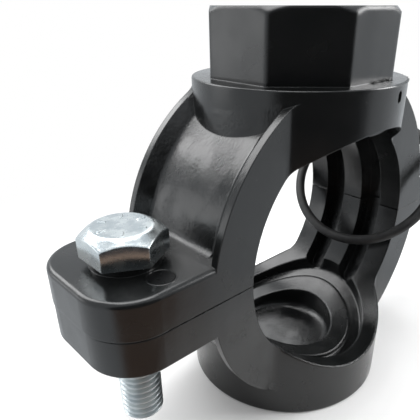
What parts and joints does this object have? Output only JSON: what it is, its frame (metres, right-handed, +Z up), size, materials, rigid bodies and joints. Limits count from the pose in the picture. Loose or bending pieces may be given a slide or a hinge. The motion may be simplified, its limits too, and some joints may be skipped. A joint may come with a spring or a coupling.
{
  "type": "tapping saddle",
  "caption": "Two-piece moulded tapping saddle that clamps round a plastic pipe, with a threaded outlet on an octagonal boss, a round foot and hexagon clamp bolts.",
  "frame": {"origin": "middle of the foot's flat underside", "axes": "+Z up along the threaded outlet, +Y along the pipe, +X across the pipe through the clamp ears"},
  "size_m": [0.1078, 0.0454, 0.0811],
  "materials": {
    "saddle_plastic": "semi-gloss black moulded polypropylene",
    "seal_rubber": "smooth black rubber",
    "zinc_steel": "bright zinc plate"
  },
  "bodies": {
    "lower": {"lower_saddle": "saddle_plastic", "nut_left": "zinc_steel", "nut_right": "zinc_steel"},
    "upper": {"upper_saddle": "saddle_plastic", "seal_ring": "seal_rubber"},
    "bolt_left": {"bolt_left": "zinc_steel"},
    "bolt_right": {"bolt_right": "zinc_steel"}
  },
  "joints": [
    {"name": "saddle_open", "type": "slide", "parent": "lower", "child": "upper", "axis": [0, 0, 1], "range_m": [0, 0.01]},
    {"name": "bolt_left_turn", "type": "hinge", "parent": "upper", "child": "bolt_left", "pos_m": [-0.0427, 0, 0.0441], "axis": [0, 0, 1], "range_deg": [0, 2882]},
    {"name": "bolt_right_turn", "type": "hinge", "parent": "upper", "child": "bolt_right", "pos_m": [0.0427, 0, 0.0441], "axis": [0, 0, 1], "range_deg": [0, 2882]}
  ],
  "couplings": [
    {"joint": "bolt_left_turn", "follows": "saddle_open", "rad_per_m": 5026.5},
    {"joint": "bolt_right_turn", "follows": "saddle_open", "rad_per_m": 5026.5}
  ]
}
